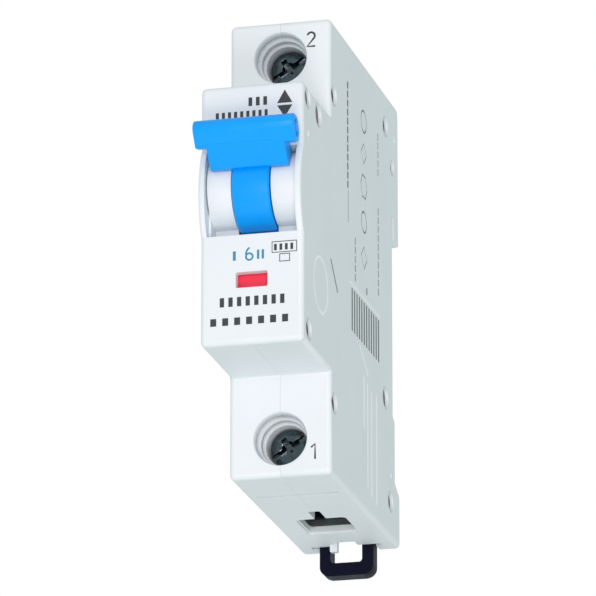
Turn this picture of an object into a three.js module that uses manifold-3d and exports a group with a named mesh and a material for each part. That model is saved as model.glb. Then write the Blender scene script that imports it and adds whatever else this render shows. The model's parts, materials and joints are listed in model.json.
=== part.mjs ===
// Single-pole miniature circuit breaker for a 35 mm rail, one 17.5 mm module wide.
// Units are millimetres. +X is to the right seen from the front, +Y points back to the
// rail, +Z is up. The origin is on the rail seat, at mid width and at the rail's centre.

import * as THREE from 'three';
import { mergeVertices } from 'three/addons/utils/BufferGeometryUtils.js';
import Module from 'manifold-3d';

const wasm = await Module();
wasm.setup();

// ---- driving dimensions -------------------------------------------------------------

const HALF_WIDTH = 8.75;
const WALL = 1.4;
const INNER_HALF = HALF_WIDTH - WALL;
const BODY_HALF_HEIGHT = 40;
const NOSE_HALF_HEIGHT = 22.5;
const SHOULDER_Y = -44;
const NOSE_Y = -62.8;
const SEAM_Y = -61.3;
const SEAM_GAP = 0.05;
const BACK_Y = 5.4;
const CORNER_RADIUS = 1;

const RAIL_HOOK_Z = 14.5;
const RAIL_SLOT = { floorY: -0.3, lipY: 1.3, topZ: 18.6 };
const FOOT = { floorY: 1.4, topZ: -17.8, rampZ: -29.5, backZ: -31.5 };
const CAVITY_BACK_Y = -1.7;

const PIVOT = { y: -57.2, z: 5 };
const DRUM_RADIUS = 7;
const DRUM_HALF_WIDTH = 3.2;
const HUMP_RADIUS = 6.4;
const HUMP_INNER_RADIUS = 5.2;
const SLOT_HALF_WIDTH = 3.4;
const HANDLE_OPENING = { halfWidth: 7.7, bottom: -3.7, top: 11.2 };
const CHEEK_BULGE = 1.9;
const GRIP_HALF_WIDTH = 8.6;
const HEAD_HALF_WIDTH = 6.65;
const HUB_RADIUS = 3;
const TOGGLE_PIN_RADIUS = 1.4;

const CRANK_RADIUS = 4;
const CRANK_ANGLE = THREE.MathUtils.degToRad(-71);
const LINK_WIRE_RADIUS = 0.6;
const LINK_LEG_X = 3.9;
const CARRIER_PIVOT = { y: -43, z: -5 };
const CARRIER_HALF_WIDTH = 2.4;
const LINK_EYE = { y: -46.2, z: -2.2, clearance: 0.5, lostMotion: 1.2 };
const CONTACT_PIN_RADIUS = 1.1;

const TRIP_PIVOT = { y: -49, z: -9.5 };
const TRIP_PIN_RADIUS = 0.9;
const TRIP_LAYER = [4.8, 6.4];

const COIL_Z = 16;
const COIL_TURNS = 8;
const TERMINAL_Z = 33.5;
const SCREW = { headRadius: 3.3, headFront: -38, headBack: -35, shankRadius: 2.4, end: -20.05 };
const CAGE = { halfWidth: 5, front: -21.5, back: -7.2, wall: 1.4, low: 30, high: 37.5 };
const TONGUE = { front: -19.7, back: -18.2, halfWidth: 3.4 };
const WIRE_ENTRY = { halfWidth: 4.1, front: -16.5, back: -7, notchFront: -21.3, notchHalf: 1 };

const WINDOW = { halfWidth: 2.7, bottom: -12.85, top: -10.15 };
const PLATE_COUNT = 9;
const PLATE_PITCH = 2.1;
const LATCH = { halfWidth: 4.8, front: 1.7, back: 4.9, bottom: -45.2, top: -15.5 };

// rivet axes through both shells, as [y, z]
const RIVETS = [
  [-59.7, 20.3], [-41.6, 26.8], [-4.5, 33.7],
  [-59, -19.6], [-41.6, -27.4], [-1.7, -33.6],
];
const RIVET = { shaft: 0.95, bore: 1.1, boss: 2.1, head: 1.6, well: 1.9, wellDepth: 1 };

// ---- colours ------------------------------------------------------------------------

const SHELL_GREY = [0xe9edee, 0.45, 0];
const HANDLE_BLUE = [0x1590ff, 0.35, 0];
const FLAG_RED = [0xe83c50, 0.4, 0];
const LATCH_BLACK = [0x1c1826, 0.45, 0];
const MECHANISM_PLASTIC = [0x2c3038, 0.55, 0];
const FIBRE_BOARD = [0xc9b08a, 0.85, 0];
const STEEL = [0xb9bcc0, 0.35, 1];
const COPPER = [0xc9794a, 0.35, 1];
const BRASS = [0xc8a85a, 0.35, 1];
const SILVER = [0xe0e0dc, 0.3, 1];

// ---- helpers ------------------------------------------------------------------------

const ROUND_SIDES = 24;

// A closed three.js geometry as a manifold solid.
function toSolid(geometry) {
  const bare = geometry.index ? geometry.toNonIndexed() : geometry;
  bare.deleteAttribute('normal');
  bare.deleteAttribute('uv');
  const merged = mergeVertices(bare, 1e-4);
  return new wasm.Manifold(new wasm.Mesh({
    numProp: 3,
    vertProperties: new Float32Array(merged.attributes.position.array),
    triVerts: new Uint32Array(merged.index.array),
  }));
}

function toGeometry(solid) {
  const { vertProperties, triVerts } = solid.getMesh();
  const geometry = new THREE.BufferGeometry();
  geometry.setAttribute('position', new THREE.BufferAttribute(new Float32Array(vertProperties), 3));
  geometry.setIndex(new THREE.BufferAttribute(new Uint32Array(triVerts), 1));
  geometry.computeVertexNormals();
  return geometry;
}

function box([x0, x1], [y0, y1], [z0, z1]) {
  const geometry = new THREE.BoxGeometry(x1 - x0, y1 - y0, z1 - z0);
  geometry.translate((x0 + x1) / 2, (y0 + y1) / 2, (z0 + z1) / 2);
  return toSolid(geometry);
}

function cylinder(radius, length, sides = ROUND_SIDES) {
  return new THREE.CylinderGeometry(radius, radius, length, sides);
}

function cylinderX(radius, [x0, x1], y, z, sides) {
  const geometry = cylinder(radius, x1 - x0, sides);
  geometry.rotateZ(Math.PI / 2);
  geometry.translate((x0 + x1) / 2, y, z);
  return toSolid(geometry);
}

function cylinderY(radius, [y0, y1], x, z, sides) {
  const geometry = cylinder(radius, y1 - y0, sides);
  geometry.translate(x, (y0 + y1) / 2, z);
  return toSolid(geometry);
}

// A shape drawn in the side view (y across, z up), extruded over an x range.
function sidePrism(shape, [x0, x1], curveSegments = 12) {
  const geometry = new THREE.ExtrudeGeometry(shape, { depth: x1 - x0, bevelEnabled: false, curveSegments });
  const toSideView = new THREE.Matrix4().set(0, 0, 1, x0, 1, 0, 0, 0, 0, 1, 0, 0, 0, 0, 0, 1);
  geometry.applyMatrix4(toSideView);
  return toSolid(geometry);
}

function outline(points) {
  return new THREE.Shape(points.map(([y, z]) => new THREE.Vector2(y, z)));
}

// A closed outline whose corners [y, z, radius] are rounded where a radius is given.
function roundedOutline(corners) {
  const shape = new THREE.Shape();
  const count = corners.length;
  corners.forEach(([y, z, radius = 0], i) => {
    const corner = new THREE.Vector2(y, z);
    const before = new THREE.Vector2(...corners[(i + count - 1) % count]).sub(corner).setLength(radius);
    const after = new THREE.Vector2(...corners[(i + 1) % count]).sub(corner).setLength(radius);
    const start = corner.clone().add(before);
    if (i === 0) {
      shape.moveTo(start.x, start.y);
    } else {
      shape.lineTo(start.x, start.y);
    }
    if (radius > 0) {
      shape.quadraticCurveTo(corner.x, corner.y, corner.x + after.x, corner.y + after.y);
    }
  });
  shape.closePath();
  return shape;
}

// A bar of constant thickness between two points of the side view.
function sideBar(from, to, halfThickness, xRange) {
  const start = new THREE.Vector2(...from);
  const end = new THREE.Vector2(...to);
  const along = end.clone().sub(start).setLength(halfThickness);
  const across = new THREE.Vector2(-along.y, along.x);
  const points = [
    start.clone().sub(across), end.clone().sub(across),
    end.clone().add(across), start.clone().add(across),
  ];
  return sidePrism(new THREE.Shape(points), xRange);
}

function union(...solids) {
  return solids.reduce((sum, solid) => sum.add(solid));
}

function cut(solid, ...tools) {
  return tools.reduce((rest, tool) => rest.subtract(tool), solid);
}

// A wire of round section swept along a curve.
function wire(curve, radius, steps, sides) {
  const section = new THREE.Shape();
  for (let i = 0; i < sides; i += 1) {
    const angle = (2 * Math.PI * i) / sides;
    section[i === 0 ? 'moveTo' : 'lineTo'](radius * Math.cos(angle), radius * Math.sin(angle));
  }
  section.closePath();
  return toSolid(new THREE.ExtrudeGeometry(section, { steps, extrudePath: curve, bevelEnabled: false }));
}

// A helix from start to end; end - start is its axis.
class Helix extends THREE.Curve {
  constructor(start, end, radius, turns) {
    super();
    this.start = start;
    this.end = end;
    this.radius = radius;
    this.turns = turns;
    const axis = end.clone().sub(start).normalize();
    this.u = new THREE.Vector3(axis.y, axis.z, axis.x);
    this.v = axis.clone().cross(this.u);
  }

  getPoint(t, target = new THREE.Vector3()) {
    const angle = 2 * Math.PI * this.turns * t;
    return target.lerpVectors(this.start, this.end, t)
      .addScaledVector(this.u, this.radius * Math.cos(angle))
      .addScaledVector(this.v, this.radius * Math.sin(angle));
  }
}

const SPRING_STEPS_PER_TURN = 10;
const SPRING_SIDES = 5;

function coilSpring(start, end, radius, turns, wireRadius) {
  const helix = new Helix(new THREE.Vector3(...start), new THREE.Vector3(...end), radius, turns);
  return wire(helix, wireRadius, Math.round(turns * SPRING_STEPS_PER_TURN), SPRING_SIDES);
}

// Mirrors a solid of the upper half to the lower half.
function mirrorZ(solid) {
  return solid.mirror([0, 0, 1]);
}

const group = new THREE.Group();

function addPart(name, solid, [color, roughness, metalness]) {
  const material = new THREE.MeshStandardMaterial({ color, roughness, metalness });
  const mesh = new THREE.Mesh(toGeometry(solid), material);
  mesh.name = name;
  group.add(mesh);
}

// ---- housing shells -----------------------------------------------------------------

function bodyOutline() {
  return roundedOutline([
    [SHOULDER_Y, BODY_HALF_HEIGHT, CORNER_RADIUS],
    [SHOULDER_Y, NOSE_HALF_HEIGHT],
    [NOSE_Y, NOSE_HALF_HEIGHT, CORNER_RADIUS],
    [NOSE_Y, -NOSE_HALF_HEIGHT, CORNER_RADIUS],
    [SHOULDER_Y, -NOSE_HALF_HEIGHT],
    [SHOULDER_Y, -BODY_HALF_HEIGHT, CORNER_RADIUS],
    [BACK_Y, -BODY_HALF_HEIGHT],
    [BACK_Y, FOOT.backZ],
    [FOOT.floorY, FOOT.rampZ],
    [FOOT.floorY, FOOT.topZ - 0.8],
    [0, FOOT.topZ],
    [0, RAIL_HOOK_Z],
    [RAIL_SLOT.floorY, RAIL_HOOK_Z],
    [RAIL_SLOT.floorY, RAIL_SLOT.topZ],
    [RAIL_SLOT.lipY, RAIL_SLOT.topZ],
    [RAIL_SLOT.lipY, RAIL_HOOK_Z],
    [BACK_Y, RAIL_HOOK_Z],
    [BACK_Y, BODY_HALF_HEIGHT, 1.5],
  ]);
}

function cavityOutline() {
  const noseTop = NOSE_HALF_HEIGHT - WALL;
  const bodyTop = BODY_HALF_HEIGHT - WALL;
  const noseFront = NOSE_Y + WALL + 0.1;
  const hookFloor = RAIL_SLOT.topZ + 1.6;
  return outline([
    [SHOULDER_Y + WALL, bodyTop], [SHOULDER_Y + WALL, noseTop],
    [noseFront, noseTop], [noseFront, -noseTop],
    [SHOULDER_Y + WALL, -noseTop], [SHOULDER_Y + WALL, -bodyTop],
    [CAVITY_BACK_Y, -bodyTop], [CAVITY_BACK_Y, hookFloor],
    [BACK_Y - WALL, hookFloor], [BACK_Y - WALL, bodyTop],
  ]);
}

// The hump that closes the handle opening behind the drum, with its two shelves.
function handleHump() {
  const span = [-INNER_HALF - 0.1, INNER_HALF - 0.1];
  const shelf = [NOSE_Y + 0.8, PIVOT.y];
  const { bottom, top } = HANDLE_OPENING;
  const ring = cut(
    cylinderX(HUMP_RADIUS, span, PIVOT.y, PIVOT.z),
    cylinderX(HUMP_INNER_RADIUS, [-HALF_WIDTH, HALF_WIDTH], PIVOT.y, PIVOT.z),
    box([-HALF_WIDTH, HALF_WIDTH], [PIVOT.y, PIVOT.y + DRUM_RADIUS], [bottom - 5, top + 5]),
  );
  const hump = union(
    ring,
    box(span, shelf, [top, top + 1]),
    box(span, shelf, [bottom - 1, bottom]),
    box(span, [PIVOT.y - 1, PIVOT.y], [bottom - 1, PIVOT.z - HUMP_INNER_RADIUS]),
  );
  const drumRoom = [-SLOT_HALF_WIDTH, SLOT_HALF_WIDTH];
  return cut(hump, cylinderX(DRUM_RADIUS + 0.25, drumRoom, PIVOT.y, PIVOT.z));
}

// Two thin cheeks that bulge forward on either side of the handle.
function cheeks() {
  const { halfWidth, bottom, top } = HANDLE_OPENING;
  const halfChord = (top - bottom) / 2;
  const radius = (halfChord ** 2 + CHEEK_BULGE ** 2) / (2 * CHEEK_BULGE);
  const centreY = NOSE_Y - CHEEK_BULGE + radius;
  const disc = (range) => cylinderX(radius, range, centreY, (top + bottom) / 2, 96);
  const front = box([-HALF_WIDTH, HALF_WIDTH], [NOSE_Y - 3, SEAM_Y], [bottom, top]);
  return union(
    disc([-HALF_WIDTH, -halfWidth]).intersect(front),
    disc([halfWidth, HALF_WIDTH]).intersect(front),
  );
}

// A round collar that holds a terminal screw's head behind the shoulder.
function screwCollar() {
  return cylinderY(5.2, [SHOULDER_Y + 0.5, -33.5], 0, TERMINAL_Z);
}

function screwBore() {
  return union(
    cylinderY(4.4, [SHOULDER_Y - 1, -38.6], 0, TERMINAL_Z),
    cylinderY(3.7, [SHOULDER_Y, -34.7], 0, TERMINAL_Z),
    cylinderY(2.65, [SHOULDER_Y, -33], 0, TERMINAL_Z),
  );
}

function wireEntry() {
  const { halfWidth, front, back, notchFront, notchHalf } = WIRE_ENTRY;
  const depth = [BODY_HALF_HEIGHT - WALL - 0.1, BODY_HALF_HEIGHT + 1];
  return union(
    box([-halfWidth, halfWidth], [front, back], depth),
    box([-notchHalf, notchHalf], [notchFront, front + 0.1], depth),
  );
}

// Wall between a terminal chamber and the switch chamber.
function terminalBarrier() {
  return box([-INNER_HALF - 0.1, INNER_HALF + 0.1], [-17.5, CAVITY_BACK_Y + 0.1], [27.2, 28.2]);
}

function calibrationBoss() {
  return cut(
    box([-INNER_HALF - 0.1, 2.2], [-58.8, -57.2], [-17, -14]),
    cylinderY(1.15, [-60, -56], 0, -15.5),
  );
}

// Channel for the rail latch in the foot, with an undercut that keeps the latch in.
function latchChannel() {
  const z = [-BODY_HALF_HEIGHT - 1, FOOT.rampZ];
  return union(
    box([-5.05, 5.05], [FOOT.floorY, BACK_Y + 1], z),
    box([-6.1, 6.1], [FOOT.floorY, 2.9], z),
    box([-2.6, 2.6], [0, FOOT.floorY + 0.1], [-BODY_HALF_HEIGHT - 1, -38.6]),
  );
}

// The peg is rooted in the left shell, reaches over the seam and carries the latch spring.
function latchPeg() {
  const z = [-29.2, -28];
  return union(
    box([-1.4, 0], [FOOT.floorY - 1, 4.4], z),
    box([-1.4, 1.4], [FOOT.floorY + SEAM_GAP, 4.4], z),
  );
}

// Everything of the housing before it is split into its two shells.
function housingSolid() {
  const full = [-HALF_WIDTH, HALF_WIDTH];
  const { halfWidth, bottom, top } = HANDLE_OPENING;
  const inner = [-INNER_HALF - 0.1, INNER_HALF + 0.1];
  const hollow = cut(
    sidePrism(bodyOutline(), full),
    sidePrism(cavityOutline(), [-INNER_HALF, INNER_HALF]),
  );
  const opening = box([-halfWidth, halfWidth], [NOSE_Y - 1, SEAM_Y], [bottom, top]);
  const window = box([-WINDOW.halfWidth, WINDOW.halfWidth], [NOSE_Y - 1, SEAM_Y + 1], [WINDOW.bottom, WINDOW.top]);
  const bosses = RIVETS.map(([y, z]) => cylinderX(RIVET.boss, inner, y, z));
  const walls = union(
    cut(hollow, opening), ...bosses,
    screwCollar(), mirrorZ(screwCollar()), terminalBarrier(), mirrorZ(terminalBarrier()),
  );
  const wells = RIVETS.flatMap(([y, z]) => [
    cylinderX(RIVET.bore, full, y, z, 16),
    cylinderX(RIVET.well, [HALF_WIDTH - RIVET.wellDepth, HALF_WIDTH + 1], y, z),
    cylinderX(RIVET.well, [-HALF_WIDTH - 1, -HALF_WIDTH + RIVET.wellDepth], y, z),
  ]);
  const pinEnds = [-INNER_HALF - 0.75, INNER_HALF + 0.75];
  return cut(
    walls, ...wells, window,
    screwBore(), mirrorZ(screwBore()), wireEntry(), mirrorZ(wireEntry()), latchChannel(),
    cylinderX(TOGGLE_PIN_RADIUS + 0.1, pinEnds, PIVOT.y, PIVOT.z),
    cylinderX(CONTACT_PIN_RADIUS + 0.1, pinEnds, CARRIER_PIVOT.y, CARRIER_PIVOT.z),
    cylinderX(TRIP_PIN_RADIUS + 0.1, pinEnds, TRIP_PIVOT.y, TRIP_PIVOT.z),
  );
}

// The front wall of the nose and the rail seat run over the full width on the left shell.
function fullWidthZones(gap) {
  return union(
    box([-1, HALF_WIDTH + 1], [NOSE_Y - 5, SEAM_Y + gap], [-30, 30]),
    box([-1, HALF_WIDTH + 1], [CAVITY_BACK_Y - gap, BACK_Y + 1], [FOOT.topZ - gap, RAIL_HOOK_Z + gap]),
  );
}

function addHousing() {
  const housing = housingSolid();
  const rightHalf = box([0, HALF_WIDTH + 1], [NOSE_Y - 5, BACK_Y + 1], [-50, 50]);
  const leftBase = cut(housing, cut(rightHalf, fullWidthZones(0)));
  const hump = handleHump();
  const left = union(leftBase, cheeks(), hump, calibrationBoss(), latchPeg());
  const right = cut(housing.intersect(rightHalf), fullWidthZones(SEAM_GAP));
  addPart('housing_left', left, SHELL_GREY);
  addPart('housing_right', right, SHELL_GREY);
}

function addRivets() {
  const seat = HALF_WIDTH - RIVET.wellDepth;
  RIVETS.forEach(([y, z], i) => {
    const rivet = union(
      cylinderX(RIVET.shaft, [-seat - 0.2, seat + 0.2], y, z, 12),
      cylinderX(RIVET.head, [seat, seat + 0.6], y, z, 16),
      cylinderX(RIVET.head, [-seat - 0.6, -seat], y, z, 16),
    );
    addPart(`rivet_${i + 1}`, rivet, STEEL);
  });
}

// ---- handle and link ----------------------------------------------------------------

function crankPoint() {
  return {
    y: PIVOT.y + CRANK_RADIUS * Math.cos(CRANK_ANGLE),
    z: PIVOT.z + CRANK_RADIUS * Math.sin(CRANK_ANGLE),
  };
}

function addToggle() {
  const head = cut(
    sidePrism(outline([
      [-67.4, 10.7], [-64.5, 7.4], [-62.4, 7.4], [-61.9, 9.8], [-62.7, 11], [-65, 12.6],
    ]), [-HEAD_HALF_WIDTH, HEAD_HALF_WIDTH]),
    cylinderX(HUMP_RADIUS + 0.35, [-HALF_WIDTH, HALF_WIDTH], PIVOT.y, PIVOT.z),
  );
  const grip = sidePrism(roundedOutline([
    [-69.7, 14.9, 1.2], [-65.9, 15, 1.2], [-64.5, 12.6, 0.8], [-65.1, 10.8, 0.5], [-67.4, 10.3, 0.3],
  ]), [-GRIP_HALF_WIDTH, GRIP_HALF_WIDTH], 4);
  const hub = [-INNER_HALF + 0.25, INNER_HALF - 0.25];
  const crank = crankPoint();
  const toggle = cut(
    union(
      cylinderX(DRUM_RADIUS, [-DRUM_HALF_WIDTH, DRUM_HALF_WIDTH], PIVOT.y, PIVOT.z, 48),
      cylinderX(HUB_RADIUS, hub, PIVOT.y, PIVOT.z),
      head,
      grip,
    ),
    cylinderX(TOGGLE_PIN_RADIUS + 0.15, [-HALF_WIDTH, HALF_WIDTH], PIVOT.y, PIVOT.z),
    cylinderX(LINK_WIRE_RADIUS + 0.15, [-HALF_WIDTH, HALF_WIDTH], crank.y, crank.z, 16),
  );
  addPart('toggle', toggle, HANDLE_BLUE);
  addPart('toggle_pin', cylinderX(TOGGLE_PIN_RADIUS, [-8, 8], PIVOT.y, PIVOT.z, 20), STEEL);
  const spring = coilSpring([-6.7, PIVOT.y, PIVOT.z], [-3.8, PIVOT.y, PIVOT.z], 3.65, 4, 0.3);
  addPart('toggle_spring', spring, STEEL);
}

function addDriveLink() {
  const crank = crankPoint();
  const leg = [LINK_LEG_X - LINK_WIRE_RADIUS, LINK_LEG_X + LINK_WIRE_RADIUS];
  const link = union(
    cylinderX(LINK_WIRE_RADIUS, [-DRUM_HALF_WIDTH + 0.2, leg[1]], crank.y, crank.z, 12),
    cylinderX(LINK_WIRE_RADIUS, [-CARRIER_HALF_WIDTH + 0.4, leg[1]], LINK_EYE.y, LINK_EYE.z, 12),
    sideBar([crank.y, crank.z], [LINK_EYE.y, LINK_EYE.z], LINK_WIRE_RADIUS, leg),
  );
  addPart('drive_link', link, STEEL);
}

// ---- moving contact -----------------------------------------------------------------

function addContactArm() {
  const x = [-CARRIER_HALF_WIDTH, CARRIER_HALF_WIDTH];
  const crank = crankPoint();
  const { y, z, clearance, lostMotion } = LINK_EYE;
  const away = new THREE.Vector2(y - crank.y, z - crank.z).setLength(lostMotion);
  const far = [y + away.x, z + away.y];
  const eye = LINK_WIRE_RADIUS + clearance;
  const carrier = cut(
    union(
      cylinderX(3.6, x, CARRIER_PIVOT.y, CARRIER_PIVOT.z),
      cylinderX(2.2, x, y, z),
      cylinderX(2.2, x, ...far),
      sideBar([CARRIER_PIVOT.y, CARRIER_PIVOT.z], far, 2.2, x),
    ),
    cylinderX(eye, [-5, 5], y, z, 16),
    cylinderX(eye, [-5, 5], ...far, 16),
    sideBar([y, z], far, eye, [-5, 5]),
    cylinderX(CONTACT_PIN_RADIUS + 0.15, [-5, 5], CARRIER_PIVOT.y, CARRIER_PIVOT.z, 16),
    box([-1.7, 1.7], [-41.4, -35], [-9, 0]),
  );
  addPart('contact_carrier', carrier, MECHANISM_PLASTIC);
  const arm = sidePrism(outline([
    [-41.3, -6.8], [-39.4, -6.8], [-33.5, 1.3], [-30.4, 1.6], [-30.4, 3.2], [-34.4, 3.2], [-41.3, -4],
  ]), [-1.6, 1.6]);
  addPart('contact_arm', arm, COPPER);
  addPart('moving_contact', box([-1.5, 1.5], [-34, -30.7], [3.2, 4]), SILVER);
  addPart('contact_pin', cylinderX(CONTACT_PIN_RADIUS, [-7.9, 7.9], CARRIER_PIVOT.y, CARRIER_PIVOT.z, 16), STEEL);
  const springY = CARRIER_PIVOT.y;
  const springZ = CARRIER_PIVOT.z;
  const spring = coilSpring([-6.6, springY, springZ], [-3, springY, springZ], 1.85, 5, 0.3);
  addPart('contact_spring', spring, STEEL);
}

function addFixedContact() {
  const bar = union(
    box([-2, 2], [-35, -24.5], [4.9, 5.9]),
    box([-2, 2], [-26, -25], [5.8, 9.4]),
  );
  addPart('fixed_contact', bar, COPPER);
  addPart('fixed_contact_pad', box([-1.5, 1.5], [-34, -30.7], [4.1, 4.9]), SILVER);
}

// ---- trip lever ---------------------------------------------------------------------

function addTripLever() {
  const layer = TRIP_LAYER;
  const lever = cut(
    union(
      cylinderX(2, layer, TRIP_PIVOT.y, TRIP_PIVOT.z),
      sideBar([TRIP_PIVOT.y, TRIP_PIVOT.z], [-40, 17], 1.2, layer),
      sideBar([TRIP_PIVOT.y, TRIP_PIVOT.z], [-54.1, -12.9], 0.9, layer),
      box([-2, layer[1]], [-40.6, -39.2], [14.6, 17.4]),
      box([-2.5, layer[1]], [-54.6, -53.6], [-13.5, -12.3]),
    ),
    cylinderX(TRIP_PIN_RADIUS + 0.15, [-8, 8], TRIP_PIVOT.y, TRIP_PIVOT.z, 16),
  );
  addPart('trip_lever', lever, MECHANISM_PLASTIC);
  addPart('trip_pin', cylinderX(TRIP_PIN_RADIUS, [-7.9, 7.9], TRIP_PIVOT.y, TRIP_PIVOT.z, 16), STEEL);
  const spring = coilSpring(
    [2, TRIP_PIVOT.y, TRIP_PIVOT.z], [4.3, TRIP_PIVOT.y, TRIP_PIVOT.z], 1.5, 4, 0.25,
  );
  addPart('trip_spring', spring, STEEL);
}

// ---- magnetic trip ------------------------------------------------------------------

// A tube with an end flange each side, turned about the coil's axis.
function bobbinSolid() {
  const [bore, tube, flange] = [2.65, 3.2, 6];
  const [front, back, thickness] = [-34.6, -13.8, 0.8];
  const profile = [
    [bore, front], [flange, front], [flange, front + thickness], [tube, front + thickness],
    [tube, back - thickness], [flange, back - thickness], [flange, back], [bore, back], [bore, front],
  ].map(([radius, y]) => new THREE.Vector2(radius, y));
  const geometry = new THREE.LatheGeometry(profile, ROUND_SIDES);
  geometry.translate(0, 0, COIL_Z);
  return toSolid(geometry);
}

function addSolenoid() {
  addPart('coil_bobbin', bobbinSolid(), MECHANISM_PLASTIC);
  const coil = coilSpring([0, -32.6, COIL_Z], [0, -15.8, COIL_Z], 4.3, COIL_TURNS, 0.85);
  addPart('trip_coil', coil, COPPER);
  const yoke = cut(
    union(
      box([-5.5, 5.5], [-35.8, -12.6], [9.4, 9.9]),
      box([-5.5, 5.5], [-35.8, -34.8], [9.4, 22.6]),
      box([-5.5, 5.5], [-13.6, -12.6], [9.4, 22.6]),
    ),
    cylinderY(2.7, [-40, -10], 0, COIL_Z),
  );
  addPart('coil_yoke', yoke, STEEL);
  const core = cut(
    cylinderY(2.4, [-33.6, -26], 0, COIL_Z, 20),
    cylinderY(1.1, [-40, -20], 0, COIL_Z, 16),
    cylinderY(1.9, [-31, -25], 0, COIL_Z, 16),
  );
  addPart('fixed_core', core, STEEL);
  const plunger = union(
    cylinderY(2.4, [-22.8, -14.5], 0, COIL_Z, 20),
    cylinderY(0.8, [-38.9, -22.7], 0, COIL_Z, 12),
  );
  addPart('plunger', plunger, STEEL);
  addPart('plunger_spring', coilSpring([0, -30.6, COIL_Z], [0, -26.4, COIL_Z], 1.4, 4, 0.2), STEEL);
}

// ---- arc chute ----------------------------------------------------------------------

function addArcChute() {
  const notch = planPrism([[-25, -1.7], [-16, -0.4], [-16, 0.4], [-25, 1.7]]);
  for (let i = 0; i < PLATE_COUNT; i += 1) {
    const z = -17.5 + PLATE_PITCH * i;
    const plate = cut(box([-5.4, 5.4], [-24, -8], [z - 0.4, z + 0.4]), notch);
    addPart(`arc_plate_${i + 1}`, plate, STEEL);
  }
  addPart('arc_chute_side_left', box([-6.3, -5.5], [-23, -8], [-19, 1.2]), FIBRE_BOARD);
  addPart('arc_chute_side_right', box([5.5, 6.3], [-23, -8], [-19, 1.2]), FIBRE_BOARD);
  const upper = union(
    box([-2, 2], [-25.5, -9], [2.4, 3.3]),
    box([-2, 2], [-25.5, -24.5], [3.2, 4.9]),
  );
  addPart('arc_runner_upper', upper, COPPER);
  const lower = sidePrism(outline([
    [-9, -20.6], [-9, -19.8], [-35.5, -19.8], [-38, -13], [-38.8, -13.2], [-36.1, -20.6],
  ]), [-2, 2]);
  addPart('arc_runner_lower', lower, STEEL);
}

// An outline drawn from above, given as [y, x] points, tall enough to cut every plate.
function planPrism(points) {
  const shape = new THREE.Shape(points.map(([y, x]) => new THREE.Vector2(x, y)));
  const geometry = new THREE.ExtrudeGeometry(shape, { depth: 30, bevelEnabled: false });
  geometry.translate(0, 0, -25);
  return toSolid(geometry);
}

// ---- thermal trip and current path --------------------------------------------------

function addThermalTrip() {
  addPart('bimetal_strip', box([-3, 3], [-56, -55.2], [-19.9, -11.6]), BRASS);
  const screw = cut(
    union(
      cylinderY(1, [-58.9, -56.2], 0, -15.5, 14),
      cylinderY(1.7, [-59.7, -58.85], 0, -15.5, 16),
    ),
    box([-0.25, 0.25], [-60, -59.3], [-18, -13]),
  );
  addPart('calibration_screw', screw, BRASS);
  const path = new THREE.CatmullRomCurve3([
    [-3.9, -55.2, -17.6], [-4.9, -52.6, -17.4], [-5.4, -49, -16.2], [-5.2, -45.4, -13.4], [-3.6, -43.4, -9.9],
  ].map((point) => new THREE.Vector3(...point)));
  addPart('flexible_braid', wire(path, 0.75, 14, 8), COPPER);
}

function terminalTongue() {
  const x = [-TONGUE.halfWidth, TONGUE.halfWidth];
  return box(x, [TONGUE.front, TONGUE.back], [24.8, 37]);
}

function addTerminalStrips() {
  const x = [-2.5, 2.5];
  const upper = union(terminalTongue(), box(x, [TONGUE.front, -11], [24.8, 26]));
  addPart('terminal_strip_upper', upper, COPPER);
  const lower = union(
    mirrorZ(terminalTongue()),
    box(x, [-41, TONGUE.back], [-24.9, -23.7]),
    box(x, [-41, -39.8], [-24.9, -18.7]),
    box(x, [-55.2, -39.8], [-19.9, -18.7]),
    box(x, [-55.2, -54], [-19.9, -16.5]),
  );
  addPart('terminal_strip_lower', lower, COPPER);
}

// ---- terminals ----------------------------------------------------------------------

function terminalScrew() {
  const { headRadius, headFront, headBack, shankRadius, end } = SCREW;
  const drive = [headFront - 1, headFront + 1.8];
  return cut(
    union(
      cylinderY(headRadius, [headFront, headBack], 0, TERMINAL_Z),
      cylinderY(shankRadius, [headBack - 0.1, end], 0, TERMINAL_Z, 24),
    ),
    box([-2.2, 2.2], drive, [TERMINAL_Z - 0.45, TERMINAL_Z + 0.45]),
    box([-0.45, 0.45], drive, [TERMINAL_Z - 2.2, TERMINAL_Z + 2.2]),
  );
}

function terminalCage() {
  const { halfWidth, front, back, wall, low, high } = CAGE;
  return cut(
    box([-halfWidth, halfWidth], [front, back], [low, high]),
    box([-halfWidth + wall, halfWidth - wall], [front + wall, back - wall], [low - 1, high + 1]),
    cylinderY(SCREW.shankRadius + 0.3, [front - 1, front + wall + 0.1], 0, TERMINAL_Z, 24),
  );
}

function addTerminals() {
  addPart('terminal_screw_upper', terminalScrew(), STEEL);
  addPart('terminal_cage_upper', terminalCage(), STEEL);
  addPart('terminal_screw_lower', mirrorZ(terminalScrew()), STEEL);
  addPart('terminal_cage_lower', mirrorZ(terminalCage()), STEEL);
}

// ---- indicator and rail latch -------------------------------------------------------

function addIndicator() {
  const flag = union(
    box([-3.2, 3.2], [-60.9, -60], [-13.4, -6.4]),
    box([-0.8, 0.8], [-60.1, -59.2], [-9.6, -6.4]),
  );
  addPart('indicator_flag', flag, FLAG_RED);
}

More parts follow.
